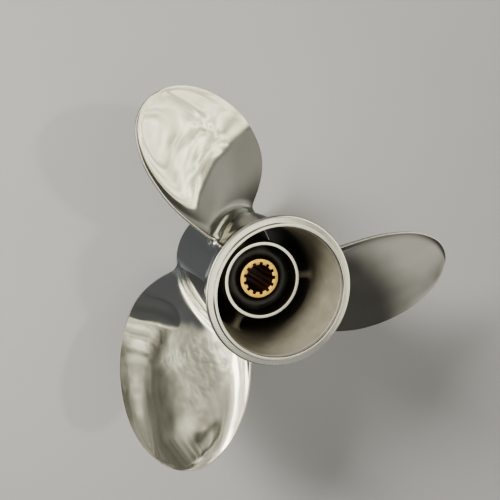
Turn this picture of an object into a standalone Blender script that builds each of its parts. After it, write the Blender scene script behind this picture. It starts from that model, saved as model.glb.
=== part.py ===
# Outboard boat propeller: three stainless blades on a through-hub exhaust barrel.
#
# The shaft axis is +Z and points aft. The front face of the barrel lies at z = 0, so the
# propeller stands on it with the flared rear mouth up. Lengths are in metres.

import bpy
import bmesh
from math import asin, atan2, cos, pi, radians, sin, sqrt

# Diameter and pitch, the two sizes that a propeller is sold by.
TIP_RADIUS = 0.1397
PITCH = 0.393
BLADE_COUNT = 3
FIRST_TIP_ANGLE = radians(210)

# Barrel: the outer tube of the hub, straight under the blades and flared at the rear.
# The flare is given by points of (radius, height), outside from the rear and inside from the front.
BARREL_RADIUS = 0.0415
BARREL_BORE = 0.0380
BARREL_FRONT_BORE = 0.0375
BARREL_FRONT_EDGE = 0.002
FRONT_TAPER_Z = 0.006
FLARE_RADIUS = 0.0478
FLARE_Z = 0.124
FLARE_EDGE = 0.0015
FLARE_OUTSIDE = ((0.0459, 0.1170), (0.0438, 0.1090), (0.0423, 0.1015), (BARREL_RADIUS, 0.0940))
FLARE_INSIDE = ((BARREL_BORE, 0.092), (0.0387, 0.104), (0.0400, 0.116))
LIP_HEIGHT = 0.0025
LIP_OUTER = 0.0434
LIP_INNER = 0.0413
LIP_FOOT = 0.0004

# Inner hub tube, which stands on three ribs inside the barrel.
TUBE_OUTER = 0.0265
TUBE_INNER = 0.0238
TUBE_FRONT_Z = 0.003
TUBE_REAR_Z = 0.0888
TUBE_EDGE = 0.0006
RIB_THICKNESS = 0.0058
RIB_FILLET = 0.0040
RIB_FRONT_Z = 0.008
RIB_REAR_Z = 0.083
RIB_LEAD = radians(2)

# Rubber bush and the splined sleeve that it grips. The bush ends in a round rim, given by points
# of (radius, depth under the top of the rim) from its outer wall to its bore.
BUSH_FRONT_Z = 0.014
BUSH_RIM_Z = 0.0805
BUSH_WALL_DEPTH = 0.0036
BUSH_BORE_DEPTH = 0.0042
BUSH_RIM = (
    (0.0152, 0.0026), (0.0162, 0.0009), (0.0182, 0.0),
    (0.0203, 0.0006), (0.0220, 0.0019), (0.0229, 0.0027),
)
SLEEVE_RADIUS = 0.0138
SLEEVE_FRONT_Z = 0.008
SLEEVE_REAR_Z = 0.082
SLEEVE_EDGE = 0.0005
SPLINE_TEETH = 13
SPLINE_ROOT_RADIUS = 0.0112
SPLINE_TIP_RADIUS = 0.0094
SPLINE_TURN = radians(-6.3)

# Blade outline: the angles of both edges from the tip, at stations from root to tip.
LEADING_SWEEP = (-53.3, -46.7, -33.8, -20.4, -9.5, 0.0)
TRAILING_SWEEP = (19.2, 20.5, 17.9, 13.4, 7.6, 0.0)
OUTLINE_ROOT_RADIUS = 0.042
TIP_STATION_Z = FLARE_Z - 0.0583
RAKE_SLOPE = 0.033
RAKE_CURVE = 0.0076
RAKE_ROOT_RADIUS = 0.040
RAKE_SPAN = 0.100

# Blade sections. The thickness falls from root to tip and from mid-chord to both edges by powers.
ROOT_THICKNESS = 0.0092
TIP_THICKNESS = 0.0026
SPAN_TAPER = 1.3
CHORD_SWELL = 0.85
LEADING_EDGE_THICKNESS = 0.0011
TRAILING_EDGE_THICKNESS = 0.0018
EDGE_NOSE = 0.4

# The hollow of the pressure face grows over the first part of the chord and ends in the cup.
CUP_DEPTH = 0.0022
CUP_START = 0.88
HOLLOW_RISE = 0.4
FULL_CUP_CHORD = 0.08

# Root fillets: wider on the pressure face than on the back. At both edges of the blade the
# fillet spreads by a part of its width, and it grows toward the edge by an odd power.
FACE_FILLET = 0.009
BACK_FILLET = 0.006
EDGE_SPREAD = 0.5
EDGE_POWER = 7

CHORD_STEPS = 16
THICKNESS_STEPS = 6
FILLET_STATIONS = (0.0, 0.1, 0.3, 0.6, 1.0)
SPAN_STEPS = 13
TIP_GAP = 0.0001

# Touching solids keep the clearance FIT, and points nearer than WELD are one.
FIT = 0.0003
WELD = 0.000005
BARREL_STEPS = 72
TUBE_STEPS = 60
BUSH_STEPS = 48

POLISHED_STEEL = (0.62, 0.61, 0.58)
CAST_STEEL = (0.50, 0.48, 0.43)
BLACK_RUBBER = (0.02, 0.02, 0.022)
BRASS = (0.78, 0.56, 0.22)


def clear_scene():
    for old in list(bpy.data.objects):
        bpy.data.objects.remove(old, do_unlink=True)


def new_material(name, color, roughness, metallic):
    material = bpy.data.materials.new(name)
    material.use_nodes = True
    shader = material.node_tree.nodes["Principled BSDF"]
    shader.inputs["Base Color"].default_value = (*color, 1.0)
    shader.inputs["Roughness"].default_value = roughness
    shader.inputs["Metallic"].default_value = metallic
    material.diffuse_color = (*color, 1.0)
    return material


def new_object(name, mesh, material, collection, sharp_angle=35):
    mesh.materials.append(material)
    mesh.shade_smooth()
    mesh.set_sharp_from_angle(angle=radians(sharp_angle))
    part = bpy.data.objects.new(name, mesh)
    collection.objects.link(part)
    return part


def turned(name, profile, steps, material, collection):
    """A closed outline of (radius, z) points, listed down the outer side, turned about Z."""
    mesh = bpy.data.meshes.new(name)
    points = [(radius, 0.0, z) for radius, z in profile]
    count = len(points)
    edges = [(i, (i + 1) % count) for i in range(count)]
    mesh.from_pydata(points, edges, [])
    part = new_object(name, mesh, material, collection)
    screw = part.modifiers.new("turn", "SCREW")
    screw.steps = steps
    screw.render_steps = steps
    screw.use_merge_vertices = True
    screw.merge_threshold = WELD
    screw.use_smooth_shade = True
    return part


def arc(center, radius, start, end, steps):
    """Points of a round corner in a profile, angles in degrees."""
    turn = [radians(start + (end - start) * i / steps) for i in range(steps + 1)]
    return [(center[0] + radius * cos(a), center[1] + radius * sin(a)) for a in turn]


def fillet_width(distance, radius):
    """How far a round fillet still stands out, at a distance from the wall that it meets."""
    if distance >= radius:
        return 0.0
    return radius - sqrt(radius * radius - (radius - distance) ** 2)


def make_barrel(material, collection):
    top = FLARE_Z + LIP_HEIGHT
    rear_corner = (FLARE_RADIUS - FLARE_EDGE, FLARE_Z - FLARE_EDGE)
    front_corner = (BARREL_RADIUS - BARREL_FRONT_EDGE, BARREL_FRONT_EDGE)
    profile = [(LIP_OUTER, top), (LIP_OUTER, FLARE_Z + LIP_FOOT)]
    profile += arc(rear_corner, FLARE_EDGE, 80, -20, 4)
    profile += FLARE_OUTSIDE
    profile += arc(front_corner, BARREL_FRONT_EDGE, 0, -90, 3)
    profile += [(BARREL_FRONT_BORE, 0.0), (BARREL_BORE, FRONT_TAPER_Z)]
    profile += FLARE_INSIDE
    profile.append((LIP_INNER, top))
    return turned("hub_barrel", profile, BARREL_STEPS, material, collection)


def make_inner_tube(material, collection):
    profile = [
        (TUBE_OUTER - TUBE_EDGE, TUBE_REAR_Z),
        (TUBE_OUTER, TUBE_REAR_Z - TUBE_EDGE),
        (TUBE_OUTER, TUBE_FRONT_Z),
        (TUBE_INNER, TUBE_FRONT_Z),
        (TUBE_INNER, TUBE_REAR_Z - TUBE_EDGE),
        (TUBE_INNER + TUBE_EDGE, TUBE_REAR_Z),
    ]
    return turned("inner_hub_tube", profile, TUBE_STEPS, material, collection)


def rib_outline():
    """Section of a rib between the two round walls, with a fillet at each wall."""
    inner = TUBE_OUTER + FIT
    outer = BARREL_BORE - FIT
    steps = 9
    side = []
    for i in range(steps + 1):
        radius = inner + (outer - inner) * (1 - cos(pi * i / steps)) / 2
        half = RIB_THICKNESS / 2 + fillet_width(radius - inner, RIB_FILLET)
        half += fillet_width(outer - radius, RIB_FILLET)
        side.append((radius, asin(half / radius)))
    outline = [(radius, angle) for radius, angle in side]
    last = side[-1][1]
    outline += [(outer, last * f) for f in (0.5, 0.0, -0.5)]
    outline += [(radius, -angle) for radius, angle in reversed(side)]
    first = side[0][1]
    outline += [(inner, first * f) for f in (-0.5, 0.0, 0.5)]
    return [(radius * cos(angle), radius * sin(angle)) for radius, angle in outline]


def make_ribs(material, collection):
    height = RIB_REAR_Z - RIB_FRONT_Z
    curve = bpy.data.curves.new("rib_section", "CURVE")
    curve.dimensions = "2D"
    curve.fill_mode = "BOTH"
    curve.extrude = height / 2
    outline = rib_outline()
    spline = curve.splines.new("POLY")
    spline.points.add(len(outline) - 1)
    for point, (x, y) in zip(spline.points, outline):
        point.co = (x, y, 0.0, 1.0)
    spline.use_cyclic_u = True
    guide = bpy.data.objects.new("rib_section", curve)
    collection.objects.link(guide)
    bpy.context.view_layer.update()
    evaluated = guide.evaluated_get(bpy.context.evaluated_depsgraph_get())
    mesh = bpy.data.meshes.new_from_object(evaluated)
    bpy.data.objects.remove(guide, do_unlink=True)
    solid = bmesh.new()
    solid.from_mesh(mesh)
    bmesh.ops.remove_doubles(solid, verts=solid.verts, dist=WELD)
    bmesh.ops.recalc_face_normals(solid, faces=solid.faces)
    solid.to_mesh(mesh)
    solid.free()
    mesh.materials.clear()
    for index in range(BLADE_COUNT):
        rib = new_object(f"rib_{index + 1}", mesh.copy(), material, collection)
        rib.location.z = (RIB_FRONT_Z + RIB_REAR_Z) / 2
        rib.rotation_euler.z = tip_angle(index) + RIB_LEAD


def make_bush(material, collection):
    outer = TUBE_INNER - FIT
    inner = SLEEVE_RADIUS + FIT
    profile = [
        (outer, BUSH_RIM_Z - BUSH_WALL_DEPTH),
        (outer, BUSH_FRONT_Z),
        (inner, BUSH_FRONT_Z),
        (inner, BUSH_RIM_Z - BUSH_BORE_DEPTH),
    ]
    profile += [(radius, BUSH_RIM_Z - depth) for radius, depth in BUSH_RIM]
    return turned("rubber_bush", profile, BUSH_STEPS, material, collection)


def make_sleeve(material, collection):
    """Splined sleeve: a round tube whose bore has teeth, lofted from ring to ring."""
    tip, root = SPLINE_TIP_RADIUS, SPLINE_ROOT_RADIUS
    tooth = (tip, tip, root, root, root, tip)
    steps = SPLINE_TEETH * len(tooth)
    rings = (
        (SLEEVE_FRONT_Z, None),
        (SLEEVE_REAR_Z, None),
        (SLEEVE_REAR_Z, SLEEVE_RADIUS - SLEEVE_EDGE),
        (SLEEVE_REAR_Z - SLEEVE_EDGE, SLEEVE_RADIUS),
        (SLEEVE_FRONT_Z + SLEEVE_EDGE, SLEEVE_RADIUS),
        (SLEEVE_FRONT_Z, SLEEVE_RADIUS - SLEEVE_EDGE),
    )
    solid = bmesh.new()
    loops = []
    for z, fixed_radius in rings:
        loop = []
        for i in range(steps):
            angle = SPLINE_TURN + 2 * pi * i / steps
            radius = fixed_radius or tooth[i % len(tooth)]
            loop.append(solid.verts.new((radius * cos(angle), radius * sin(angle), z)))
        loops.append(loop)
    for ring, following in zip(loops, loops[1:] + loops[:1]):
        for i in range(steps):
            j = (i + 1) % steps
            solid.faces.new((ring[i], following[i], following[j], ring[j]))
    bmesh.ops.recalc_face_normals(solid, faces=solid.faces)
    mesh = bpy.data.meshes.new("splined_sleeve")
    solid.to_mesh(mesh)
    solid.free()
    return new_object("splined_sleeve", mesh, material, collection)


def tip_angle(index):
    return FIRST_TIP_ANGLE + index * 2 * pi / BLADE_COUNT


def smooth_value(values, place):
    """A smooth curve through equally spaced values, read at a place from 0 to 1."""
    last = len(values) - 1
    index = min(int(place * last), last - 1)
    t = place * last - index
    p1, p2 = values[index], values[index + 1]
    p0 = values[index - 1] if index > 0 else 2 * p1 - p2
    p3 = values[index + 2] if index + 2 <= last else 2 * p2 - p1
    straight = p2 - p0
    bend = 2 * p0 - 5 * p1 + 4 * p2 - p3
    twist = 3 * p1 - p0 - 3 * p2 + p3
    return 0.5 * (2 * p1 + straight * t + bend * t * t + twist * t ** 3)


def edge_angles(radius):
    """Angles of the leading and trailing edges from the tip, at a radius."""
    span = (radius - OUTLINE_ROOT_RADIUS) / (TIP_RADIUS - OUTLINE_ROOT_RADIUS)
    place = 2 / pi * asin(min(max(span, 0.0), 1.0))
    leading = smooth_value(LEADING_SWEEP, place)
    trailing = smooth_value(TRAILING_SWEEP, place)
    return radians(leading), radians(trailing)


def helix_height(radius, angle):
    """Height of the screw surface that the blade's pressure face follows."""
    x = (radius - RAKE_ROOT_RADIUS) / RAKE_SPAN
    rake = RAKE_SLOPE * x - RAKE_CURVE * x * x
    return TIP_STATION_Z + rake + PITCH * angle / (2 * pi)


def section(radius, root_radius):
    """Rows of points from pressure side to back, where a cylinder of this radius cuts it."""
    span = (radius - root_radius) / (TIP_RADIUS - root_radius)
    thickness = TIP_THICKNESS + (ROOT_THICKNESS - TIP_THICKNESS) * (1 - span) ** SPAN_TAPER
    face_spread = fillet_width(radius - root_radius, FACE_FILLET)
    back_spread = fillet_width(radius - root_radius, BACK_FILLET)
    leading, trailing = edge_angles(radius)
    slope = atan2(PITCH / (2 * pi), radius)
    chord = radius * (trailing - leading) / cos(slope)
    rows = []
    for i in range(CHORD_STEPS + 1):
        u = (1 - cos(pi * i / CHORD_STEPS)) / 2
        angle = leading + u * (trailing - leading)
        edge = LEADING_EDGE_THICKNESS + u * (TRAILING_EDGE_THICKNESS - LEADING_EDGE_THICKNESS)
        swell = (thickness - edge) * max(4 * u * (1 - u), 0.0) ** CHORD_SWELL
        rise = min(u / HOLLOW_RISE, 1.0)
        bend = max((u - CUP_START) / (1 - CUP_START), 0.0)
        hollow = CUP_DEPTH * rise * rise * (3 - 2 * rise) * (1 - bend * bend)
        hollow *= min(chord / FULL_CUP_CHORD, 1.0)
        face_offset = hollow - face_spread
        back_offset = hollow + edge + swell + back_spread
        edge_spread = EDGE_SPREAD * back_spread
        nose = (EDGE_NOSE * edge + edge_spread) * ((i == CHORD_STEPS) - (i == 0))
        row = []
        for k in range(THICKNESS_STEPS + 1):
            f = k / THICKNESS_STEPS
            offset = face_offset + (back_offset - face_offset) * f
            along = edge_spread * (2 * u - 1) ** EDGE_POWER + nose * sin(pi * f)
            turn = angle + (along * cos(slope) + offset * sin(slope)) / radius
            z = helix_height(radius, angle) + along * sin(slope) - offset * cos(slope)
            row.append((radius, turn, z))
        rows.append(row)
    return rows


def blade_stations(root_radius):
    near_root = [root_radius + FACE_FILLET * f for f in FILLET_STATIONS]
    first = near_root[-1]
    reach = TIP_RADIUS - TIP_GAP - first
    rest = [first + reach * sin(pi / 2 * i / SPAN_STEPS) for i in range(1, SPAN_STEPS + 1)]
    return near_root + rest


def around(rows):
    """The outer points of a section, in order round the blade."""
    middle = range(1, THICKNESS_STEPS)
    loop = [row[0] for row in rows]
    loop += [rows[-1][k] for k in middle]
    loop += [row[-1] for row in reversed(rows)]
    loop += [rows[0][k] for k in reversed(middle)]
    return loop


def make_blade(name, turn, material, collection):
    """A loft from the root on the barrel to the tip, closed by a grid at each end."""
    root_radius = BARREL_RADIUS + FIT
    solid = bmesh.new()

    def vertex(point):
        radius, angle, z = point
        return solid.verts.new((radius * cos(angle + turn), radius * sin(angle + turn), z))

    stations = [section(radius, root_radius) for radius in blade_stations(root_radius)]
    loops = [[vertex(point) for point in around(rows)] for rows in stations]
    count = len(loops[0])
    for lower, upper in zip(loops, loops[1:]):
        for i in range(count):
            j = (i + 1) % count
            solid.faces.new((lower[i], lower[j], upper[j], upper[i]))
    for rows in (stations[0], stations[-1]):
        grid = [[vertex(point) for point in row] for row in rows]
        for row, following in zip(grid, grid[1:]):
            for k in range(THICKNESS_STEPS):
                solid.faces.new((row[k], row[k + 1], following[k + 1], following[k]))
    bmesh.ops.remove_doubles(solid, verts=solid.verts, dist=WELD)
    bmesh.ops.recalc_face_normals(solid, faces=solid.faces)
    mesh = bpy.data.meshes.new(name)
    solid.to_mesh(mesh)
    solid.free()
    return new_object(name, mesh, material, collection)


def main():
    clear_scene()
    collection = bpy.data.collections.new("boat_propeller")
    bpy.context.scene.collection.children.link(collection)
    polished = new_material("polished_stainless", POLISHED_STEEL, roughness=0.12, metallic=1.0)
    cast = new_material("cast_stainless", CAST_STEEL, roughness=0.45, metallic=1.0)
    rubber = new_material("black_rubber", BLACK_RUBBER, roughness=0.45, metallic=0.0)
    brass = new_material("brass", BRASS, roughness=0.30, metallic=1.0)
    make_barrel(polished, collection)
    make_inner_tube(cast, collection)
    make_ribs(cast, collection)
    for index in range(BLADE_COUNT):
        make_blade(f"blade_{index + 1}", tip_angle(index), polished, collection)
    make_bush(rubber, collection)
    make_sleeve(brass, collection)


main()
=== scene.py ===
from functools import partial
from math import cos, pi, radians, sin

import bmesh
import bpy
from mathutils import Matrix, Vector


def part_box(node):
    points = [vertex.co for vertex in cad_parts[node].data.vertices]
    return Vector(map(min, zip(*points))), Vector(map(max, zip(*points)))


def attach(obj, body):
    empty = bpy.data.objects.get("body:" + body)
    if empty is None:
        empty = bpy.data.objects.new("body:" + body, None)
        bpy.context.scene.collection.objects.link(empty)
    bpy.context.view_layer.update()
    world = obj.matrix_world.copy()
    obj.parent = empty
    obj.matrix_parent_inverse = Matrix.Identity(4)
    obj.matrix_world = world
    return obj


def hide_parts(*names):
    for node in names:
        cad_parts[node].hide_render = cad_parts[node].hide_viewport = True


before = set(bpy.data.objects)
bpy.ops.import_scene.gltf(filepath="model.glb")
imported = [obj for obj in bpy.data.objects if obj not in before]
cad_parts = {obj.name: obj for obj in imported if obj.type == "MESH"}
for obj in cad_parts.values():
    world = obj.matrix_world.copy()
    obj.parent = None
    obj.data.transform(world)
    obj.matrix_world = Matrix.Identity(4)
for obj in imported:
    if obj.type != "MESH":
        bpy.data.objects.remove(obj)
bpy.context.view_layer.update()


# The barrel
# Outer tube of the hub, cast in stainless steel with the blades and polished by hand outside.
# Its rear end is turned on a lathe: a flared rim, a step and a raised lip. Inside it stays as cast.

MM = 0.001
MICRON = 0.001 * MM
barrel_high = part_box("hub_barrel")[1]
BARREL_TOP = barrel_high[2]
BARREL_RADIUS = 41.5 * MM
BARREL_BORE = 38.0 * MM
FLARE_RADIUS = barrel_high[0]
FLARE_CORNER = 1.4 * MM
LIP_HEIGHT = 2.5 * MM
LIP_OUTER = 43.4 * MM
LIP_INNER = 41.3 * MM
LIP_FILLET = 0.45 * MM
FLARE_TOP = BARREL_TOP - LIP_HEIGHT
TURNED_EDGE = 0.5 * MM
TURNING_STEP = 0.42 * MM
SKIMMING_STEP = 1.3 * MM
CHATTER_MARKS = 240.0
GRINDING_LINES_PER_METRE = 640.0
POLISHED, TURNED, SKIMMED, CAST = 1.0, 0.5, 0.2, 0.0
CLEAR_STEEL = (0.66, 0.655, 0.63)
HAZY_STEEL = (0.60, 0.595, 0.565)
CAST_SKIN = (0.32, 0.30, 0.24)
PALE_CAST_SKIN = (0.39, 0.365, 0.30)
# Painted shade: the cast skin darker deep inside the barrel.
DEEP_CAST_SKIN_PAINTED_SHADE = (0.20, 0.185, 0.145)
# Painted shade: near-black on the tube's inner wall, between the tube and the bush.
TUBE_WALL_PAINTED_SHADE = (0.10, 0.085, 0.06)


def arc(radius, z, corner, start, end, steps=8):
    """Points of a round corner in a profile, angles in degrees."""
    angles = [radians(start + (end - start) * i / steps) for i in range(steps + 1)]
    return [(radius + corner * cos(a), z + corner * sin(a)) for a in angles]


def flowing(points, steps=12):
    """A smooth line through profile points."""
    ends = [points[0], *points, points[-1]]
    line = []
    for p0, p1, p2, p3 in zip(ends, ends[1:], ends[2:], ends[3:]):
        for i in range(steps):
            t = i / steps
            line.append(tuple(
                0.5 * (2 * b + (c - a) * t + (2 * a - 5 * b + 4 * c - d) * t * t
                       + (3 * b - a - 3 * c + d) * t ** 3)
                for a, b, c, d in zip(p0, p1, p2, p3)))
    return line + [points[-1]]


def in_scene(name, data):
    """An object for a mesh, a lamp or a camera, linked to the scene."""
    thing = bpy.data.objects.new(name, data)
    bpy.context.scene.collection.objects.link(thing)
    return thing


def turned(name, stretches, steps):
    """A closed profile turned about Z: stretches of (finish, points) run down the outer side."""
    profile = [(r, z, finish) for finish, points in stretches for r, z in points]
    kept = []
    for point, before in zip(profile, profile[-1:] + profile):
        if abs(point[0] - before[0]) + abs(point[1] - before[1]) > 0.1 * MICRON:
            kept.append(point)
    shape = bmesh.new()
    polish = shape.verts.layers.float.new("polish")
    rings = []
    for radius, z, finish in kept:
        ring = []
        for i in range(steps):
            angle = 2 * pi * i / steps
            vertex = shape.verts.new((radius * cos(angle), radius * sin(angle), z))
            vertex[polish] = finish
            ring.append(vertex)
        rings.append(ring)
    for upper, lower in zip(rings, rings[1:] + rings[:1]):
        for i in range(steps):
            j = (i + 1) % steps
            shape.faces.new((upper[i], lower[i], lower[j], upper[j]))
    mesh = bpy.data.meshes.new(name)
    shape.to_mesh(mesh)
    shape.free()
    mesh.shade_smooth()
    mesh.set_sharp_from_angle(angle=radians(50))
    return in_scene(name, mesh)


class Term:
    """A number in a node tree, so that a rule can be written as a formula."""

    def __init__(self, tree, socket):
        self.tree = tree
        self.socket = socket

    def power(self, exponent):
        return calculate("POWER", self, exponent)

    def __neg__(self):
        return calculate("MULTIPLY", self, -1.0)


def feed(socket, value):
    """Sets a node's input to a number, or links it to the result of a formula."""
    if isinstance(value, Term):
        value.tree.links.new(value.socket, socket)
    else:
        socket.default_value = value


def node_fed(kind, values):
    """A new node in the tree of the terms among these values, which go into its first inputs."""
    tree = next(value.tree for value in values if isinstance(value, Term))
    node = tree.nodes.new(kind)
    for socket, value in zip(node.inputs, values):
        feed(socket, value)
    return node


def calculate(operation, *values):
    node = node_fed("ShaderNodeMath", values)
    node.operation = operation
    return Term(node.id_data, node.outputs[0])


def joined(*values):
    """Three numbers as one vector."""
    return node_fed("ShaderNodeCombineXYZ", values).outputs[0]


def operator(operation, swapped):
    if swapped:
        return lambda self, other: calculate(operation, other, self)
    return lambda self, other: calculate(operation, self, other)


for word, operation in (
        ("add", "ADD"), ("sub", "SUBTRACT"), ("mul", "MULTIPLY"), ("truediv", "DIVIDE")):
    setattr(Term, f"__{word}__", operator(operation, False))
    setattr(Term, f"__r{word}__", operator(operation, True))

sine = partial(calculate, "SINE")
cosine = partial(calculate, "COSINE")
square_root = partial(calculate, "SQRT")
angle_of = partial(calculate, "ARCTAN2")
smaller = partial(calculate, "MINIMUM")
larger = partial(calculate, "MAXIMUM")
size_of = partial(calculate, "ABSOLUTE")


def clamped(value, low=0.0, high=1.0):
    return smaller(larger(value, low), high)


def eased(value, start, end):
    """Rises smoothly from 0 at start to 1 at end."""
    t = clamped((value - start) / (end - start))
    return t * t * (3.0 - 2.0 * t)


def from_axis(x, y):
    """Distance from the shaft axis."""
    return square_root(x * x + y * y)


class Finish:
    """A material whose shader is fed by small procedural patterns."""

    def __init__(self, name):
        self.material = bpy.data.materials.new(name)
        self.material.use_nodes = True
        self.tree = self.material.node_tree
        self.shader = self.tree.nodes["Principled BSDF"]
        self.place = self.tree.nodes.new("ShaderNodeTexCoord").outputs["Object"]

    def stretched(self, scale):
        node = self.tree.nodes.new("ShaderNodeMapping")
        node.inputs["Scale"].default_value = scale
        self.tree.links.new(self.place, node.inputs["Vector"])
        return node.outputs["Vector"]

    def noise(self, scale, detail, roughness=0.5, place=None, distortion=0.0):
        node = self.tree.nodes.new("ShaderNodeTexNoise")
        node.inputs["Scale"].default_value = scale
        node.inputs["Detail"].default_value = detail
        node.inputs["Roughness"].default_value = roughness
        node.inputs["Distortion"].default_value = distortion
        self.tree.links.new(place or self.place, node.inputs["Vector"])
        return Term(self.tree, node.outputs["Fac"])

    def axes(self):
        node = self.tree.nodes.new("ShaderNodeSeparateXYZ")
        self.tree.links.new(self.place, node.inputs["Vector"])
        return [Term(self.tree, socket) for socket in node.outputs]

    def attribute(self, name):
        node = self.tree.nodes.new("ShaderNodeAttribute")
        node.attribute_name = name
        return Term(self.tree, node.outputs["Fac"])

    def mixed(self, amount, first, second):
        node = self.tree.nodes.new("ShaderNodeMix")
        node.data_type = "RGBA"
        for socket, value in zip([s for s in node.inputs if s.type == "RGBA"], (first, second)):
            if isinstance(value, tuple):
                socket.default_value = (*value, 1.0)
            else:
                self.tree.links.new(value, socket)
        self.tree.links.new(amount.socket, node.inputs["Factor"])
        return [s for s in node.outputs if s.type == "RGBA"][0]

    def color(self, socket):
        self.tree.links.new(socket, self.shader.inputs["Base Color"])

    def metal(self, amount):
        """How bare the metal is: less where a skin, dirt or oil covers it."""
        self.shader.inputs["Metallic"].default_value = 1.0
        self.tree.links.new(amount.socket, self.shader.inputs["Metallic"])

    def roughness(self, value):
        self.tree.links.new(value.socket, self.shader.inputs["Roughness"])

    def relief(self, heights):
        """Bumps in metres, laid one over the other."""
        normal = None
        for height in heights:
            node = self.tree.nodes.new("ShaderNodeBump")
            node.inputs["Strength"].default_value = 1.0
            node.inputs["Distance"].default_value = 1.0
            self.tree.links.new(height.socket, node.inputs["Height"])
            if normal:
                self.tree.links.new(normal, node.inputs["Normal"])
            normal = node.outputs["Normal"]
        self.tree.links.new(normal, self.shader.inputs["Normal"])


def stainless():
    """Polished outside, lathe-turned at the rim and blasted inside, by the attribute polish."""
    finish = Finish("stainless_steel")
    polish = finish.attribute("polish")
    blade = finish.attribute("blade")
    rim = finish.attribute("rim")
    bright = eased(polish, 0.55, 0.95)
    worked = eased(polish, 0.05, 0.45)
    lathe = worked * (1.0 - bright)
    rough = 1.0 - worked
    x, y, z = finish.axes()
    radius = from_axis(x, y)
    root = blade * eased(radius, 62 * MM, 50 * MM)

    haze = finish.noise(scale=38.0, detail=4.0, roughness=0.55)
    grain = finish.noise(scale=2600.0, detail=2.0, roughness=0.6)
    pits = finish.noise(scale=420.0, detail=3.0, roughness=0.55)
    blotches = finish.noise(scale=70.0, detail=5.0, roughness=0.6)
    lines = (radius + z * (1.0 - blade)) * GRINDING_LINES_PER_METRE
    lay = joined(lines, x / radius * 7.0, y / radius * 7.0)
    grind = finish.noise(scale=1.0, detail=3.0, roughness=0.62, place=lay)
    drawn = finish.stretched((900.0, 160.0, 420.0))
    hairlines = finish.noise(scale=1.0, detail=3.0, roughness=0.6, place=drawn, distortion=0.3)

    rings = sine((radius + z * 0.6) * (2 * pi / TURNING_STEP) + blotches * 3.0)
    chatter = sine(angle_of(y, x) * CHATTER_MARKS + radius * 3200.0 + blotches * 5.0)
    chatter = chatter * eased(radius, LIP_OUTER + 0.3 * MM, LIP_OUTER + 1.0 * MM)
    skimmed = sine(z * (2 * pi / SKIMMING_STEP) + blotches * 6.0)
    skimmed = skimmed * eased(z, 98 * MM, 112 * MM)
    skimmed = skimmed * eased(radius, BARREL_BORE - 2 * MM, BARREL_BORE - 1 * MM)

    steel = finish.mixed(haze, CLEAR_STEEL, HAZY_STEEL)
    cast = finish.mixed(eased(blotches, 0.3, 0.7), CAST_SKIN, PALE_CAST_SKIN)
    # Painted shade: the cast skin turns darker deeper inside the barrel, where little light
    # reaches.
    shade_deep_inside = finish.mixed(eased(z, 94 * MM, 60 * MM), cast, DEEP_CAST_SKIN_PAINTED_SHADE)
    # Painted shade: the tube's inner wall is painted near-black.
    shade_in_tube = finish.mixed(eased(radius, 25.2 * MM, 24.4 * MM), shade_deep_inside, TUBE_WALL_PAINTED_SHADE)
    finish.color(finish.mixed(rough, steel, shade_in_tube))
    finish.metal(1.0 - rough * 0.75)
    buffed = 0.04 + 0.06 * eased(haze, 0.35, 0.75) + 0.03 * hairlines + 0.06 * root + 0.34 * rim
    finish.roughness(
        bright * buffed + lathe * (0.11 + 0.10 * blotches) + rough * (0.50 + 0.16 * pits))
    finish.relief([
        rough * (pits * (90 * MICRON) + grain * (30 * MICRON) + skimmed * (12 * MICRON)),
        lathe * (rings * (5 * MICRON) + chatter * (9 * MICRON)),
        bright * (hairlines * (1.2 * MICRON) + grind * (1.5 * MICRON + 9 * MICRON * root)),
    ])
    return finish.material


STAINLESS = stainless()
outer_flare = flowing([
    (47.75 * MM, FLARE_TOP - 1.9 * MM), (45.9 * MM, 117.0 * MM), (43.8 * MM, 109.0 * MM),
    (42.3 * MM, 101.5 * MM), (BARREL_RADIUS, 94.0 * MM)])
inner_flare = flowing([
    (BARREL_BORE, 92.0 * MM), (38.7 * MM, 104.0 * MM), (40.0 * MM, 116.0 * MM),
    (40.75 * MM, BARREL_TOP - 3.3 * MM)])
flare_corner = (FLARE_RADIUS - FLARE_CORNER, FLARE_TOP - 1.35 * MM, FLARE_CORNER)
barrel = turned("barrel_casting", [
    (TURNED, arc(LIP_OUTER - TURNED_EDGE, BARREL_TOP - TURNED_EDGE, TURNED_EDGE, 90, 0)),
    (TURNED, arc(LIP_OUTER + LIP_FILLET, FLARE_TOP + 0.75 * MM, LIP_FILLET, 180, 270)),
    (TURNED, arc(*flare_corner, 84, 40)),
    (POLISHED, arc(*flare_corner, 34, -12)),
    (POLISHED, outer_flare),
    (POLISHED, [(BARREL_RADIUS, z * MM) for z in range(92, 2, -2)]),
    (POLISHED, arc(BARREL_RADIUS - 2 * MM, 2 * MM, 2 * MM, 0, -90)),
    (TURNED, [(39.3 * MM, 0.0), (37.8 * MM, 0.0), (37.5 * MM, 0.3 * MM)]),
    (CAST, [(37.8 * MM, 4.0 * MM), (BARREL_BORE, 6.0 * MM)]),
    (CAST, [(BARREL_BORE, z * MM) for z in range(10, 92, 6)]),
    (CAST, inner_flare),
    (SKIMMED, [(40.8 * MM, BARREL_TOP - 3.1 * MM), (41.1 * MM, BARREL_TOP - 2.9 * MM)]),
    (SKIMMED, [(41.15 * MM, BARREL_TOP - 2.7 * MM), (LIP_INNER, BARREL_TOP - 0.9 * MM)]),
    (TURNED, arc(LIP_INNER + TURNED_EDGE, BARREL_TOP - TURNED_EDGE, TURNED_EDGE, 180, 90)),
], steps=360)
barrel.data.materials.append(STAINLESS)
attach(barrel, "root")
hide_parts("hub_barrel")


# The inner hub tube
# Tube of the same steel casting, which holds the rubber bush. Its ends are faced flat on the
# lathe, and the rest keeps the blasted skin of the casting.

tube_low, tube_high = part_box("inner_hub_tube")
TUBE_OUTER = tube_high[0]
TUBE_INNER = 23.8 * MM
TUBE_TOP = tube_high[2]
TUBE_FRONT = tube_low[2]
FRONT_EDGE = 0.6 * MM
TUBE_ROWS = (2, 6, 12, 24, 48, 72, 84)

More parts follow.
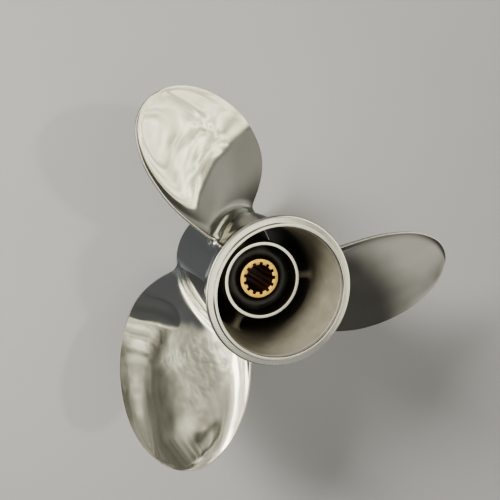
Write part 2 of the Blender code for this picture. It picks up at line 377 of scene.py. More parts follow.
tube = turned("tube_casting", [
    (TURNED, arc(TUBE_OUTER - TURNED_EDGE, TUBE_TOP - TURNED_EDGE, TURNED_EDGE, 90, 0)),
    (CAST, [(TUBE_OUTER, TUBE_TOP - row * MM) for row in TUBE_ROWS]),
    (TURNED, arc(TUBE_OUTER - FRONT_EDGE, TUBE_FRONT + FRONT_EDGE, FRONT_EDGE, 0, -90)),
    (TURNED, arc(TUBE_INNER + FRONT_EDGE, TUBE_FRONT + FRONT_EDGE, FRONT_EDGE, 270, 180)),
    # The inner wall takes the painted shade of the steel finish, near-black.
    (CAST, [(TUBE_INNER, TUBE_TOP - row * MM) for row in reversed(TUBE_ROWS)]),
    (TURNED, arc(TUBE_INNER + TURNED_EDGE, TUBE_TOP - TURNED_EDGE, TURNED_EDGE, 180, 90)),
], steps=256)
tube.data.materials.append(STAINLESS)
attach(tube, "root")
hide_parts("inner_hub_tube")


# The ribs
# Three ribs of the same steel casting carry the inner tube. Each is as cast, with a round rear
# edge, and runs out into both walls with a fillet.

rib_low, rib_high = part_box("rib_1")
RIB_COUNT = 3
FIRST_RIB_ANGLE = radians(212)
RIB_HALF_THICKNESS = 2.9 * MM
RIB_FILLET = 4.6 * MM
RIB_SINK = 0.8 * MM
RIB_COLUMNS = 64
RIB_FILLET_ROWS = 10
RIB_WALL_ROWS = 8


class Rule:
    """A tree of Geometry Nodes that shapes a skin by a rule, with its sizes as named inputs."""

    def __init__(self, name):
        self.tree = bpy.data.node_groups.new(name, "GeometryNodeTree")
        for way in ("INPUT", "OUTPUT"):
            self.tree.interface.new_socket(
                "Geometry", in_out=way, socket_type="NodeSocketGeometry")
        self.sizes = {}
        self.group = self.node("NodeGroupInput")
        self.skin = self.group.outputs["Geometry"]
        split = self.node("ShaderNodeSeparateXYZ")
        self.tree.links.new(self.node("GeometryNodeInputPosition").outputs[0], split.inputs[0])
        self.place = [Term(self.tree, socket) for socket in split.outputs]

    def node(self, kind, **settings):
        node = self.tree.nodes.new(kind)
        for name, value in settings.items():
            setattr(node, name, value)
        return node

    def size(self, name, value):
        """A named input of the tree, with the value that the modifier gives it."""
        item = self.tree.interface.new_socket(
            name, in_out="INPUT", socket_type="NodeSocketFloat")
        self.sizes[item.identifier] = float(value)
        return Term(self.tree, self.group.outputs[name])

    def move(self, **vectors):
        """Moves the skin's points to a Position, or by an Offset."""
        node = self.node("GeometryNodeSetPosition")
        self.tree.links.new(self.skin, node.inputs["Geometry"])
        for name, vector in vectors.items():
            self.tree.links.new(vector, node.inputs[name])
        self.skin = node.outputs[0]

    def store(self, name, value):
        node = self.node("GeometryNodeStoreNamedAttribute", data_type="FLOAT", domain="POINT")
        node.inputs["Name"].default_value = name
        self.tree.links.new(self.skin, node.inputs["Geometry"])
        feed([s for s in node.inputs if s.name == "Value" and s.enabled][0], value)
        self.skin = node.outputs[0]

    def made(self, source, material):
        """The plain mesh that the tree makes of an object, which keeps no modifier."""
        real = self.node("GeometryNodeRealizeInstances")
        coat = self.node("GeometryNodeSetMaterial")
        coat.inputs["Material"].default_value = material
        self.tree.links.new(self.skin, real.inputs[0])
        self.tree.links.new(real.outputs[0], coat.inputs["Geometry"])
        self.tree.links.new(coat.outputs[0], self.node("NodeGroupOutput").inputs[0])
        modifier = source.modifiers.new("rule", "NODES")
        modifier.node_group = self.tree
        for identifier, value in self.sizes.items():
            modifier[identifier] = value
        source.update_tag()
        bpy.context.view_layer.update()
        graph = bpy.context.evaluated_depsgraph_get()
        mesh = bpy.data.meshes.new_from_object(source.evaluated_get(graph))
        source.modifiers.clear()
        return mesh


class Loft(Rule):
    """A rule that bends a grid of loops and rows into a closed skin."""

    def __init__(self, name, columns, rows):
        super().__init__(name)
        grid = self.node("GeometryNodeMeshGrid")
        grid.inputs["Size X"].default_value = 1.0
        grid.inputs["Size Y"].default_value = rows - 1.0
        grid.inputs["Vertices X"].default_value = columns + 1
        grid.inputs["Vertices Y"].default_value = rows
        self.skin = grid.outputs["Mesh"]
        x, y = self.place[:2]
        self.around = (x + 0.5) * (2 * pi)
        self.row = y + (rows - 1) / 2

    def repeat(self, count, first_angle):
        """Copies round the Z axis, made real and with the seams and poles closed."""
        points = self.node("GeometryNodePoints")
        whole = self.node("FunctionNodeFloatToInt")
        self.tree.links.new(count.socket, whole.inputs[0])
        self.tree.links.new(whole.outputs[0], points.inputs["Count"])
        index = Term(self.tree, self.node("GeometryNodeInputIndex").outputs[0])
        copies = self.node("GeometryNodeInstanceOnPoints")
        self.tree.links.new(points.outputs[0], copies.inputs["Points"])
        self.tree.links.new(self.skin, copies.inputs["Instance"])
        turn = joined(0.0, 0.0, first_angle + index * (2 * pi) / count)
        self.tree.links.new(turn, copies.inputs["Rotation"])
        real = self.node("GeometryNodeRealizeInstances")
        self.tree.links.new(copies.outputs[0], real.inputs[0])
        weld = self.node("GeometryNodeMergeByDistance")
        weld.inputs["Distance"].default_value = 2 * MICRON
        self.tree.links.new(real.outputs[0], weld.inputs["Geometry"])
        self.skin = weld.outputs[0]

    def piece(self, name, material):
        """The finished skin as an object of its own, closed and facing outwards."""
        source = in_scene(name + "_rule", bpy.data.meshes.new(name + "_rule"))
        mesh = self.made(source, material)
        bpy.data.objects.remove(source, do_unlink=True)
        mesh.name = name
        shape = bmesh.new()
        shape.from_mesh(mesh)
        bmesh.ops.dissolve_degenerate(shape, edges=shape.edges, dist=0.1 * MICRON)
        if shape.calc_volume(signed=True) < 0.0:
            bmesh.ops.reverse_faces(shape, faces=shape.faces)
        shape.to_mesh(mesh)
        shape.free()
        mesh.shade_smooth()
        mesh.set_sharp_from_angle(angle=radians(60))
        return in_scene(name, mesh)


def round_axis(radius, angle, height):
    """A point by its distance from the shaft axis, its angle and its height."""
    return joined(radius * cosine(angle), radius * sine(angle), height)


def rib_casting():
    last = 2 * (RIB_FILLET_ROWS + 2) + RIB_WALL_ROWS - 1
    loft = Loft("rib_by_rule", RIB_COLUMNS, last + 1)
    inner = loft.size("Tube Radius", TUBE_OUTER)
    outer = loft.size("Bore Radius", BARREL_BORE)
    half = loft.size("Half Thickness", RIB_HALF_THICKNESS)
    fillet = loft.size("Fillet", RIB_FILLET)
    front = loft.size("Front", rib_low[2])
    rear = loft.size("Rear", rib_high[2])
    count = loft.size("Count", RIB_COUNT)
    first = loft.size("First Angle", FIRST_RIB_ANGLE)

    # The rows run from a closed end sunk in the tube, up its fillet and out to the barrel.
    into_tube = clamped((loft.row - 1.0) / RIB_FILLET_ROWS)
    into_wall = clamped((last - 1.0 - loft.row) / RIB_FILLET_ROWS)
    across = clamped((loft.row - 1.0 - RIB_FILLET_ROWS) / (last - 2.0 - 2 * RIB_FILLET_ROWS))
    near_tube = into_tube * (pi / 2)
    near_wall = into_wall * (pi / 2)
    spread = fillet * (2.0 - sine(near_tube) - sine(near_wall))
    radius = inner + fillet * (1.0 - cosine(near_tube))
    radius = radius + (outer - inner - fillet * 2.0) * across
    radius = radius + fillet * cosine(near_wall)
    open_rows = clamped(loft.row) * clamped(last - loft.row)
    radius = radius - RIB_SINK * (1.0 - clamped(loft.row))
    radius = radius + RIB_SINK * (1.0 - clamped(last - loft.row))

    # Each loop goes round the rib, with long straight sides and round front and rear edges.
    wide = (half + spread) * open_rows
    middle = (front + rear) / 2.0
    reach = (rear - front) / 2.0 + spread * 0.8
    ends = cosine(loft.around)
    height = (reach - half - spread) * clamped(ends * 5.0, -1.0, 1.0) + (half + spread) * ends
    angle = wide * sine(loft.around) / radius
    loft.move(Position=round_axis(radius, angle, middle + height))
    loft.repeat(count, first)
    return loft.piece("rib_castings", STAINLESS)


ribs = rib_casting()
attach(ribs, "root")
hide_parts("rib_1", "rib_2", "rib_3")


# The blades
# Three blades of the same steel casting, each a piece of a right-hand screw surface with a cupped
# trailing edge and a fillet at its root. Polished by hand, which leaves the faces faintly wavy.

BLADE_COUNT = 3
FIRST_TIP_ANGLE = radians(210)
TIP_RADIUS = 139.6 * MM
TIP_STATION_Z = FLARE_TOP - 58.3 * MM
PITCH = 393.0 * MM
OUTLINE_ROOT = 42.0 * MM
SWEEP_UNIT = radians(60)
LEADING_SWEEP = (0.888, 0.778, 0.563, 0.340, 0.158, 0.0)
TRAILING_SWEEP = (0.320, 0.342, 0.298, 0.223, 0.127, 0.0)
RAKE_ROOT = 40.0 * MM
RAKE_SPAN = 100.0 * MM
LEADING_EDGE = 1.1 * MM
TRAILING_EDGE = 1.8 * MM
TIP_NOSE = 0.8 * MM
FULL_CHORD = 110 * MM
BLADE_SINK = 1.0 * MM
BLADE_COLUMNS = 176
BLADE_ROWS = 150
BLADE_FILLET_ROWS = 16
RIPPLE_STEPS = (4.7 * MM, 6.9 * MM)
RIPPLE_LINE = (0.82, 0.57)


def curved(place, values):
    """A smooth curve through equally spaced values between 0 and 1."""
    node = place.tree.nodes.new("ShaderNodeFloatCurve")
    points = node.mapping.curves[0].points
    last = len(values) - 1
    points[0].location = (0.0, values[0])
    points[1].location = (1.0, values[last])
    for i in range(1, last):
        points.new(i / last, values[i])
    node.mapping.update()
    place.tree.links.new(place.socket, node.inputs["Value"])
    return Term(place.tree, node.outputs[0])


def gentle(value):
    """Rises from 0 to 1 with no sudden change of bend, which a mirror finish would show."""
    t = clamped(value)
    return t * t * t * (10.0 + t * (t * 6.0 - 15.0))


def rounded(distance, nose):
    """Height of a round nose at a distance from its tip."""
    short = 1.0 - clamped(distance / nose)
    return square_root(1.0 - short * short)


def blade_casting():
    loft = Loft("blade_by_rule", BLADE_COLUMNS, BLADE_ROWS)
    tip = loft.size("Tip Radius", TIP_RADIUS)
    root = loft.size("Root Radius", BARREL_RADIUS + 0.02 * MM)
    pitch = loft.size("Pitch", PITCH)
    slope_rake = loft.size("Rake Slope", 33.0 * MM)
    curve_rake = loft.size("Rake Curve", 7.6 * MM)
    root_thickness = loft.size("Root Thickness", 9.2 * MM)
    tip_thickness = loft.size("Tip Thickness", 2.6 * MM)
    cup_depth = loft.size("Cup Depth", 2.2 * MM)
    cup_start = loft.size("Cup Start", 0.84)
    face_fillet = loft.size("Face Fillet", 9.0 * MM)
    back_fillet = loft.size("Back Fillet", 6.0 * MM)
    waves = loft.size("Polish Waves", 0.22 * MM)
    ripples = loft.size("Edge Ripples", 0.035 * MM)
    count = loft.size("Count", BLADE_COUNT)
    first = loft.size("First Tip Angle", FIRST_TIP_ANGLE)

    # The first two rows close the root inside the barrel. The fillet and the span follow.
    above = loft.row - 2.0
    into_fillet = clamped(above / BLADE_FILLET_ROWS) * (pi / 2)
    span_rows = BLADE_ROWS - 3.0 - BLADE_FILLET_ROWS
    along_span = clamped((above - BLADE_FILLET_ROWS) / span_rows) * (pi / 2)
    radius = root + face_fillet * (1.0 - cosine(into_fillet))
    radius = radius + (tip - root - face_fillet) * sine(along_span)
    radius = radius - BLADE_SINK * (1.0 - clamped(loft.row - 1.0))
    solid = clamped(loft.row)

    def fillet_width(width):
        inside = clamped(1.0 - (radius - root) / width)
        return width * (1.0 - square_root(1.0 - inside * inside))

    face_spread = fillet_width(face_fillet)
    back_spread = fillet_width(back_fillet)

    # The outline gives the angles of both edges, and the pitch gives the slope of the chord.
    outline = clamped((radius - OUTLINE_ROOT) / (tip - OUTLINE_ROOT))
    place = calculate("ARCSINE", outline) * (2 / pi)
    leading = curved(place, LEADING_SWEEP) * -SWEEP_UNIT
    trailing = curved(place, TRAILING_SWEEP) * SWEEP_UNIT
    lead = pitch / (2 * pi)
    slope = angle_of(lead, radius)
    chord = radius * (trailing - leading) / cosine(slope)
    across = (1.0 - cosine(loft.around)) * 0.5
    angle = leading + across * (trailing - leading)

    # Thickness, with the ripples that filing leaves near the leading edge, and the cupped hollow.
    span = clamped((radius - root) / (tip - root))
    thickness = tip_thickness + (root_thickness - tip_thickness) * (1.0 - span).power(1.3)
    edge = LEADING_EDGE + across * (TRAILING_EDGE - LEADING_EDGE)
    full = edge + (thickness - edge) * (across * (1.0 - across) * 4.0).power(0.85)
    along_edge = radius * (cosine(angle) * RIPPLE_LINE[0] + sine(angle) * RIPPLE_LINE[1])
    fine_ripple, wide_ripple = [
        sine(along_edge * (2 * pi / step) + across * 9.0) for step in RIPPLE_STEPS]
    ripple = (fine_ripple + wide_ripple) * ripples * eased(across, 0.36, 0.14)
    full = full + ripple * eased(radius, 78 * MM, 96 * MM)
    bend = clamped((across - cup_start) / (1.0 - cup_start)).power(3.0)
    hollow = cup_depth * gentle(across / 0.5) * (1.0 - bend) * gentle(chord / FULL_CHORD)

    # Each loop runs round a section of the blade, with round noses at both edges and the tip.
    half = full * 0.5 * rounded(across * chord, LEADING_EDGE / 2)
    half = half * rounded((1.0 - across) * chord, TRAILING_EDGE / 2)
    half = half * rounded(tip - radius, TIP_NOSE)
    toward_edge = cosine(loft.around).power(7.0)
    toward_face = square_root(1.0 - toward_edge * toward_edge)
    side = calculate("SIGN", sine(loft.around))
    on_face = clamped(side)
    spread = face_spread * on_face + back_spread * (1.0 - on_face)
    offset = hollow + full * 0.5 - side * solid * (half + spread * toward_face)
    along = -toward_edge * back_spread * solid

    rake_place = (radius - RAKE_ROOT) / RAKE_SPAN
    rake = slope_rake * rake_place - curve_rake * rake_place * rake_place
    turn = angle + (along * cosine(slope) + offset * sine(slope)) / radius
    height = TIP_STATION_Z + rake + lead * angle
    height = height + along * sine(slope) - offset * cosine(slope)
    to_edge = smaller(smaller(across * chord, (1.0 - across) * chord), tip - radius)
    above_fillet = eased(radius, 48 * MM, 66 * MM)
    loft.store("rim", eased(to_edge, 1.1 * MM, 0.3 * MM) * eased(radius, 46 * MM, 52 * MM))
    loft.store("clear_of_root", above_fillet * clamped((tip - radius) / (4 * MM)))
    loft.move(Position=round_axis(radius, turn, height))
    loft.repeat(count, first)

    # The waves of the polish differ from blade to blade, so they come after the copies.
    swell = loft.node("ShaderNodeTexNoise")
    swell.inputs["Scale"].default_value = 34.0
    swell.inputs["Detail"].default_value = 1.2
    swell.inputs["Distortion"].default_value = 0.35
    clear = loft.node("GeometryNodeInputNamedAttribute", data_type="FLOAT")
    clear.inputs["Name"].default_value = "clear_of_root"
    amount = (Term(loft.tree, swell.outputs[0]) - 0.5) * waves * Term(loft.tree, clear.outputs[0])
    outward = loft.node("ShaderNodeVectorMath", operation="SCALE")
    loft.tree.links.new(loft.node("GeometryNodeInputNormal").outputs[0], outward.inputs[0])
    feed(outward.inputs["Scale"], amount)
    loft.move(Offset=outward.outputs[0])
    loft.store("polish", POLISHED)
    loft.store("blade", 1.0)
    return loft.piece("blade_castings", STAINLESS)


blades = blade_casting()
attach(blades, "root")
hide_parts("blade_1", "blade_2", "blade_3")


# The rubber bush
# Moulded black rubber, pressed into the inner tube. It drives the propeller and slips if a blade
# strikes something. A raised rim runs round its rear end.

bush_low, bush_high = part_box("rubber_bush")
BUSH_OUTER = bush_high[0]
BUSH_TOP = bush_high[2]
BUSH_FRONT = bush_low[2]
BUSH_BORE = 14.0 * MM
MOULDED = 0.0
RUBBER_BLACK = (0.060, 0.060, 0.056)
RUBBER_DUST = (0.130, 0.126, 0.112)
# Painted sheen: a pale ring of colour outside the rim, in place of a highlight.
RUBBER_PAINTED_SHEEN = (0.15, 0.148, 0.13)


def rubber():
    """Satin black and dusty, with a pale sheen painted in a ring outside its raised rim."""
    finish = Finish("moulded_rubber")
    dust = finish.noise(scale=120.0, detail=6.0, roughness=0.65)
    skin = finish.noise(scale=1500.0, detail=3.0, roughness=0.6)
    flow = finish.noise(scale=60.0, detail=2.0)
    radius = from_axis(*finish.axes()[:2])
    # Painted sheen: the pale ring stands in for a highlight on the rim's outer slope.
    painted_sheen = eased(radius, 17.5 * MM, 20.5 * MM) * eased(flow, 0.40, 0.62)
    black = finish.mixed(eased(dust, 0.50, 0.80), RUBBER_BLACK, RUBBER_DUST)
    finish.color(finish.mixed(painted_sheen, black, RUBBER_PAINTED_SHEEN))
    finish.shader.inputs["Specular IOR Level"].default_value = 1.0
    finish.roughness(0.38 + 0.25 * dust)
    finish.relief([skin * (20 * MICRON), flow * (300 * MICRON)])
    return finish.material


bush = turned("rubber_bush_moulded", [(MOULDED, [
    *arc(22.6 * MM, BUSH_TOP - 3.6 * MM, 0.9 * MM, 60, 0, steps=5),
    (BUSH_OUTER, BUSH_TOP - 20 * MM), (BUSH_OUTER, BUSH_FRONT + 1 * MM),
    (BUSH_OUTER - 1 * MM, BUSH_FRONT), (BUSH_BORE, BUSH_FRONT),
    (BUSH_BORE, BUSH_TOP - 4.6 * MM),
    *flowing([
        (BUSH_BORE, BUSH_TOP - 4.3 * MM), (14.6 * MM, BUSH_TOP - 3.9 * MM),
        (15.2 * MM, BUSH_TOP - 2.5 * MM), (16.2 * MM, BUSH_TOP - 0.8 * MM),
        (18.2 * MM, BUSH_TOP), (20.3 * MM, BUSH_TOP - 0.6 * MM),
        (22.0 * MM, BUSH_TOP - 1.9 * MM), (22.9 * MM, BUSH_TOP - 2.7 * MM)], steps=8),
])], steps=192)
bush.data.materials.append(rubber())
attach(bush, "root")
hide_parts("rubber_bush")


# The splined sleeve
# Brass sleeve that the rubber grips. It is turned from bar, and its teeth are broached for the
# propeller shaft, which leaves their flanks dark with oil.

sleeve_low, sleeve_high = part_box("splined_sleeve")
SLEEVE_RADIUS = sleeve_high[0]
SLEEVE_TOP = sleeve_high[2]
SLEEVE_FRONT = sleeve_low[2]
SPLINE_TEETH = 13
SPLINE_TIP = 9.4 * MM
SPLINE_ROOT = 11.2 * MM
SPLINE_TURN = radians(7.5)
STEPS_PER_TOOTH = 36
MACHINED = 1.0
BRASS_TURNING_STEP = 0.3 * MM
BRIGHT_BRASS = (0.90, 0.64, 0.24)
TARNISHED_BRASS = (0.80, 0.53, 0.18)
OIL_STAIN = (0.30, 0.13, 0.07)
# Pale streak colour in the bore, painted as glints along the teeth.
OILED_BRASS_PAINTED_GLINT = (0.85, 0.55, 0.35)


def brass():
    """Bright on its turned end; oily down the broached bore, with pale streaks painted as glints.
    """
    finish = Finish("turned_brass")
    x, y, z = finish.axes()
    radius = from_axis(x, y)
    tarnish = finish.noise(scale=260.0, detail=5.0, roughness=0.6)
    nicks = finish.noise(scale=900.0, detail=3.0, roughness=0.6)
    drawn = finish.stretched((420.0, 420.0, 16.0))
    broached_glint_streaks = finish.noise(scale=1.0, detail=3.0, roughness=0.6, place=drawn)
    depth = eased(z, SLEEVE_TOP - 0.8 * MM, SLEEVE_TOP - 6 * MM)
    depth = depth * eased(radius, 12.4 * MM, 11.6 * MM)
    bright = finish.mixed(eased(tarnish, 0.3, 0.75), BRIGHT_BRASS, TARNISHED_BRASS)
    # Dark oil in the bore, with pale streaks along the teeth painted as glints.
    oil_and_painted_glints = finish.mixed(eased(broached_glint_streaks, 0.42, 0.66), OIL_STAIN, OILED_BRASS_PAINTED_GLINT)
    finish.color(finish.mixed(depth, bright, oil_and_painted_glints))
    finish.metal(1.0 - depth * 0.6)
    finish.roughness(0.26 + 0.16 * tarnish)
    rings = sine(radius * (2 * pi / BRASS_TURNING_STEP) + tarnish * 2.0)
    finish.relief([nicks * (20 * MICRON), rings * (4 * MICRON)])
    return finish.material


def cut_teeth(piece):
    """Pushes the bore out between the teeth, by a rule on the angle round the axis."""
    rule = Rule("spline_teeth")
    teeth = rule.size("Teeth", SPLINE_TEETH)
    depth = rule.size("Depth", SPLINE_ROOT - SPLINE_TIP)
    first_notch = rule.size("First Notch", SPLINE_TURN)
    limit = rule.size("Bore Limit", 11.5 * MM)
    x, y = rule.place[:2]
    radius = from_axis(x, y)
    notch = eased(cosine((angle_of(y, x) - first_notch) * teeth), 0.0, 0.35)
    inside = eased(radius, limit, limit - 0.9 * MM)
    push = notch * inside * depth / radius
    rule.move(Offset=joined(x * push, y * push, 0.0))
    piece.data = rule.made(piece, brass())
    piece.data.shade_smooth()
    piece.data.set_sharp_from_angle(angle=radians(38))


bore_rows = [SLEEVE_FRONT + row * MM for row in (1.2, 20)]
bore_rows += [SLEEVE_TOP - row * MM for row in (30, 14, 7, 3, 1.0, 0.3)]
end_edge = SLEEVE_RADIUS - TURNED_EDGE
sleeve = turned("splined_sleeve_brass", [(MACHINED, [
    *arc(end_edge, SLEEVE_TOP - TURNED_EDGE, TURNED_EDGE, 90, 0, steps=5),
    *arc(end_edge, SLEEVE_FRONT + TURNED_EDGE, TURNED_EDGE, 0, -90, steps=5),
    (11.4 * MM, SLEEVE_FRONT), (SPLINE_TIP + 0.6 * MM, SLEEVE_FRONT),
    *[(SPLINE_TIP, z) for z in bore_rows],
    (SPLINE_TIP + 0.08 * MM, SLEEVE_TOP - 0.08 * MM), (SPLINE_TIP + 0.25 * MM, SLEEVE_TOP),
    (11.45 * MM, SLEEVE_TOP),
])], steps=SPLINE_TEETH * STEPS_PER_TOOTH)
cut_teeth(sleeve)
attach(sleeve, "root")
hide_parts("splined_sleeve")


# The floor and the light
# A plain pale floor under a softbox, with a narrow lamp into the hub. What the steel mirrors is
# painted by direction and seen by mirror rays alone: dark table, wall, draped cloth, white sheet.

FLOOR_HALF = 6.0
FLOOR_DROP = 0.4 * MM
FLOOR_DARKER = (0.49, 0.486, 0.478)
FLOOR_PALER = (0.52, 0.516, 0.507)
SHEET_TINT = (1.0, 0.965, 0.75)
CLOTH_TINT = (1.0, 0.97, 0.80)
WALL_TINT = (1.0, 0.975, 0.88)
TABLE_TINT = (0.97, 1.0, 1.02)
MIDDLE_AZIMUTH = 120
DRAPE_SHADES = (0.58, 0.46, 0.46, 0.37, 0.20, 0.19, 0.21, 0.08, 0.075, 0.085, 0.09)
DRAPE_FULL = 3.5
DRAPE_SLANT = 0.64
SHEET_SLANT = 0.6
GLOW_DIRECTION = (56, 65)
FILL_LIGHT = (0.38, 0.375, 0.36)
BACKDROP = (0.29, 0.287, 0.28)
LAMP_COLOR = (1.0, 0.98, 0.94)
LAMP_DISTANCE = 2.4
AIM_HEIGHT = 0.10


def between(value, first, last, soft):
    """1 from first to last, with soft ends."""
    return eased(value, first - soft, first + soft) * eased(value, last + soft, last - soft)


def creases(pattern, width):
    """Bright lines where a pattern crosses its middle value."""
    ridge = clamped(1.0 - size_of(pattern - 0.5) * (2.0 / width))
    return ridge * ridge


def toward(azimuth, elevation):
    """The direction at an azimuth and an elevation, in degrees."""
    a, e = radians(azimuth), radians(elevation)
    return Vector((cos(a) * cos(e), sin(a) * cos(e), sin(e)))


class Surroundings:
    """What is mirrored from each direction, painted in layers, with angles in degrees."""

    def __init__(self, tree):
        self.tree = tree
        split = tree.nodes.new("ShaderNodeSeparateXYZ")
        tree.links.new(tree.nodes.new("ShaderNodeTexCoord").outputs["Generated"], split.inputs[0])
        self.direction = [Term(tree, socket) for socket in split.outputs]
        x, y, z = self.direction
        # Azimuths run from -60 to 300, so that they jump where no cloth or wall hangs.
        middle = radians(MIDDLE_AZIMUTH)
        azimuth = angle_of(y * cos(middle) - x * sin(middle), x * cos(middle) + y * sin(middle))
        self.azimuth = (azimuth + middle) * (180 / pi)
        self.elevation = angle_of(z, from_axis(x, y)) * (180 / pi)
        self.cloudy = self.mottled(2.4)
        # The sheet's hem is level on one side and sweeps up on the other, over the wall.
        hem = clamped((104.0 - self.azimuth) / 34.0).power(1.6) * 23.0 - 9.0
        self.above_hem = self.elevation - hem
        self.color = None

    def folds(self, across, along, depth, detail=2.0, distortion=1.0):
        """A noise drawn out along the folds, from a slice of its own."""
        node = self.tree.nodes.new("ShaderNodeTexNoise")
        node.inputs["Scale"].default_value = 1.0
        node.inputs["Detail"].default_value = detail
        node.inputs["Distortion"].default_value = distortion
        self.tree.links.new(joined(across, along, depth), node.inputs["Vector"])
        return Term(self.tree, node.outputs[0])

    def mottled(self, scale):
        x, y, z = self.direction
        return self.folds(x * scale, y * scale, z * scale, distortion=0.6)

    def paint(self, brightness, tint, cover=None):
        """Lays one tint over what is there already, or all round for the first layer."""
        shade = self.tree.nodes.new("ShaderNodeVectorMath")
        shade.operation = "SCALE"
        shade.inputs[0].default_value = tint
        feed(shade.inputs["Scale"], brightness)
        if cover is None:
            self.color = shade.outputs[0]
            return
        mix = self.tree.nodes.new("ShaderNodeMix")
        mix.data_type = "VECTOR"
        feed([s for s in mix.inputs if s.type == "VALUE" and s.enabled][0], cover)
        under, over = [s for s in mix.inputs if s.type == "VECTOR" and s.enabled]
        self.tree.links.new(self.color, under)
        self.tree.links.new(shade.outputs[0], over)
        self.color = [s for s in mix.outputs if s.enabled][0]

    def paint_table(self):
        """A dark table top, paler on the near side."""
        azimuth, elevation = self.azimuth, self.elevation
        near = eased(elevation, -12, -40) * eased(size_of(azimuth - 20.0), 80, 48)
        table = 0.155 + 0.05 * eased(elevation, 0, 40) + 0.10 * between(elevation, -48, -8, 8)
        table = (table + 0.26 * near) * (0.7 + 0.6 * self.cloudy)
        self.paint(table, TABLE_TINT)

    def paint_wall(self):
        """A grey wall, with a pale slanting patch and the sheet's shadow under its hem."""
        azimuth, elevation = self.azimuth, self.elevation
        steep = clamped(elevation - 26.0, 0.0, 40.0)
        slant = azimuth + 0.5 * elevation + 0.03 * steep * steep
        wall = (0.40 - 0.16 * eased(azimuth, 30, 60)) * eased(slant, 12, 32)
        wall = wall * eased(azimuth, 114, 98)
        wall = wall * eased(elevation + 0.7 * clamped(azimuth - 66.0, 0.0, 90.0), -34, -4)
        wall = wall + 0.22 * between(azimuth, 94, 122, 6) * between(elevation, -42, -24, 4)
        wall = 0.11 + wall + 0.05 * between(azimuth, 76, 92, 5)
        shadow = between(self.above_hem, -2.2, 0.0, 0.8) * eased(azimuth, 62, 70)
        wall = wall * (1.0 - 0.30 * shadow) * (0.85 + 0.3 * self.cloudy)
        cover = between(azimuth, -36, 145, 14) * eased(elevation, 66, 46)
        cover = cover * (1.0 - eased(azimuth, 62, 48) * eased(elevation, -10, -26))
        self.paint(wall, WALL_TINT, cover)

    def paint_drape(self):
        """Cloth in slanting folds, from bright low on one side to dark high on the other."""
        azimuth, elevation = self.azimuth, self.elevation
        across = elevation - (azimuth - 200.0) * DRAPE_SLANT
        along = azimuth + elevation * DRAPE_SLANT
        wide = self.folds(across * 0.07, along * 0.022, 7.0)
        fine = self.folds(across * 0.22, along * 0.05, 9.0, distortion=1.2)
        cross = self.folds(elevation * 0.55, azimuth * 0.06, 3.0, distortion=0.8)
        streak = self.folds(azimuth * 0.45, elevation * 0.03, 6.0, distortion=0.3)
        drape = curved((across + (wide - 0.5) * 16.0 + 30.0) / 100.0, DRAPE_SHADES) * DRAPE_FULL

        # Pale patches, then the folds, a dark one, a bright one and a low bright hem.
        drape = drape + (0.42 + 0.36 * between(elevation, 34, 46, 3)) * eased(azimuth, 188, 175)
        drape = drape + 0.40 * between(elevation, 47, 60, 3) * eased(azimuth, 196, 174)
        drape = drape + 0.38 * between(azimuth, 194, 210, 4) * between(elevation, 30, 42, 4)
        drape = drape + 0.75 * between(azimuth, 226, 234, 3) * between(elevation, 52, 57, 2)
        crossing = (0.9 + 1.6 * eased(azimuth, 190, 180)) * (cross - 0.5)
        drape = drape * (0.72 + 0.75 * creases(fine, 0.16) + crossing)
        fold_line = elevation - 58.0 + 0.3 * (azimuth - 229.0)
        fold_line = fold_line + 0.75 * clamped(azimuth - 240.0, 0.0, 90.0)
        dark_fold = between(fold_line, -1.7, 1.5, 0.8) * between(azimuth, 235, 250, 3)
        drape = drape * (1.0 - 0.75 * dark_fold)
        flash = elevation - 15.0 - (azimuth - 242.0) * 0.67
        drape = drape + 3.0 * between(flash, -4, 7, 1.5) * between(azimuth, 241.5, 253, 1.5)
        low_side = eased(azimuth, 222, 238)
        drape = drape + 2.0 * between(elevation, 2, 8, 1.5) * between(azimuth, 222, 240, 4)
        streaks = (creases(streak, 0.2) * 1.6 - 0.5) * low_side * eased(elevation, 12, 4)
        drape = drape * (1.0 + streaks)

        edge = 4.0 - 13.0 * low_side + 9.0 * eased(azimuth, 219, 211)
        edge = edge + 6.0 * eased(azimuth, 204, 196) + 18.0 * eased(azimuth, 197, 162)
        soft = 1.2 + 4.0 * eased(azimuth, 186, 200)
        cover = eased(elevation - edge, -soft, soft) * between(azimuth, 156, 286, 8)
        self.paint(drape, CLOTH_TINT, cover)

    def paint_sheet(self):
        """A crumpled white sheet, hung over the wall down to its hem."""
        azimuth, elevation = self.azimuth, self.elevation
        across = elevation + azimuth * SHEET_SLANT
        along = azimuth - elevation * SHEET_SLANT
        wide = self.folds(across * 0.085, along * 0.035, 1.0, distortion=1.8)
        fold = self.folds(across * 0.13, along * 0.055, 4.0, detail=1.5, distortion=1.3)
        crumple = self.folds(across * 0.28, along * 0.14, 2.0, detail=1.5)
        sheet = 0.68 + 1.7 * (wide - 0.40) + 1.3 * creases(fold, 0.30)
        sheet = sheet + 0.25 * creases(crumple, 0.26)
        cover = eased(self.above_hem, -0.5, 0.5) * between(azimuth, 58, 158, 5)
        self.paint(sheet, SHEET_TINT, cover * eased(elevation, 60, 44))

    def paint_roof(self):
        """Pale cloth overhead, brightest where a lamp shines through it."""
        x, y, z = self.direction
        glow = toward(*GLOW_DIRECTION)
        near_glow = x * glow.x + y * glow.y + z * glow.z
        roof = 0.10 + 1.2 * self.mottled(3.2)
        roof = roof + 0.9 * eased(near_glow, cos(radians(30)), cos(radians(12)))
        self.paint(roof, CLOTH_TINT, eased(self.elevation, 59, 70))


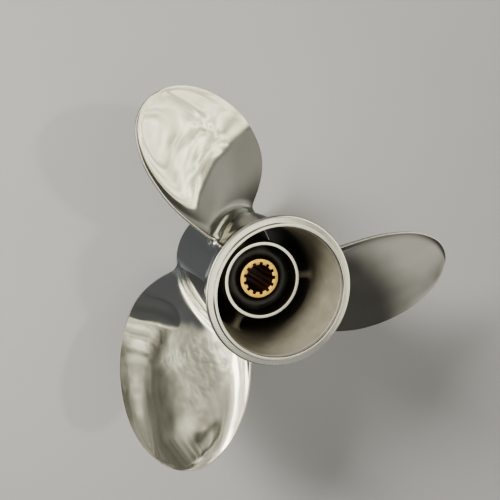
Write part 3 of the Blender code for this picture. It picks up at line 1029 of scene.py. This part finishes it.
def make_floor():
    mesh = bpy.data.meshes.new("floor")
    corners = [(-1, -1), (1, -1), (1, 1), (-1, 1)]
    mesh.from_pydata([(x * FLOOR_HALF, y * FLOOR_HALF, 0) for x, y in corners], [], [range(4)])
    floor = in_scene("floor", mesh)
    floor.location.z = -FLOOR_DROP
    floor.visible_glossy = False
    finish = Finish("pale_floor")
    finish.color(finish.mixed(finish.noise(scale=6.0, detail=3.0), FLOOR_DARKER, FLOOR_PALER))
    finish.shader.inputs["Roughness"].default_value = 0.65
    mesh.materials.append(finish.material)


def make_world():
    """The painted surroundings for mirror rays, and a plain tone for diffuse and camera rays."""
    world = bpy.data.worlds.new("studio")
    bpy.context.scene.world = world
    world.use_nodes = True
    world.cycles.sampling_method = "NONE"
    tree = world.node_tree
    around = Surroundings(tree)
    around.paint_table()
    around.paint_wall()
    around.paint_drape()
    around.paint_sheet()
    around.paint_roof()
    painted = tree.nodes["Background"]
    tree.links.new(around.color, painted.inputs["Color"])
    shown = painted.outputs[0]
    path = tree.nodes.new("ShaderNodeLightPath")
    for seen_by, shade in (("Is Diffuse Ray", FILL_LIGHT), ("Is Camera Ray", BACKDROP)):
        plain = tree.nodes.new("ShaderNodeBackground")
        plain.inputs["Color"].default_value = (*shade, 1.0)
        either = tree.nodes.new("ShaderNodeMixShader")
        tree.links.new(path.outputs[seen_by], either.inputs["Fac"])
        tree.links.new(shown, either.inputs[1])
        tree.links.new(plain.outputs[0], either.inputs[2])
        shown = either.outputs[0]
    tree.links.new(shown, tree.nodes["World Output"].inputs["Surface"])


def hang_lamp(light, azimuth, elevation):
    """Puts a light at a distance from the mouth of the barrel, pointing back at it."""
    light.color = LAMP_COLOR
    lamp = in_scene(light.name, light)
    reach = toward(azimuth, elevation) * LAMP_DISTANCE
    lamp.location = reach + Vector((0.0, 0.0, AIM_HEIGHT))
    lamp.rotation_euler = (-reach).to_track_quat("-Z", "Y").to_euler()
    lamp.visible_camera = False
    lamp.visible_glossy = False


make_floor()
make_world()
softbox = bpy.data.lights.new("softbox", "AREA")
softbox.shape = "SQUARE"
softbox.size = 0.72
softbox.energy = 62.0
hang_lamp(softbox, azimuth=236, elevation=24.5)
hub_lamp = bpy.data.lights.new("hub_lamp", "SPOT")
hub_lamp.shadow_soft_size = 0.20
hub_lamp.spot_size = radians(5)
hub_lamp.spot_blend = 0.9
hub_lamp.energy = 150.0
hang_lamp(hub_lamp, azimuth=100, elevation=60)
bpy.context.scene.view_settings.look = "AgX - High Contrast"


# The camera
# It stands aft of the propeller and to one side of the shaft axis, as in the photograph. Its lens
# and place are those that fit the outlines of the blades and the hub.

CAMERA_PLACE = Vector((-0.0916, -0.1352, 0.4812))
VIEW_DIRECTION = Vector((0.1684, 0.3015, -0.9385))
VIEW_UP = Vector((-0.9857, 0.0438, -0.1628))
LENS = 45.5
SENSOR_WIDTH = 36.0

backward = -VIEW_DIRECTION.normalized()
rightward = VIEW_UP.cross(backward).normalized()
upward = backward.cross(rightward)
camera = in_scene("camera", bpy.data.cameras.new("camera"))
camera.data.lens = LENS
camera.data.sensor_width = SENSOR_WIDTH
axes = Matrix((rightward, upward, backward)).transposed()
camera.matrix_world = Matrix.Translation(CAMERA_PLACE) @ axes.to_4x4()
bpy.context.scene.camera = camera
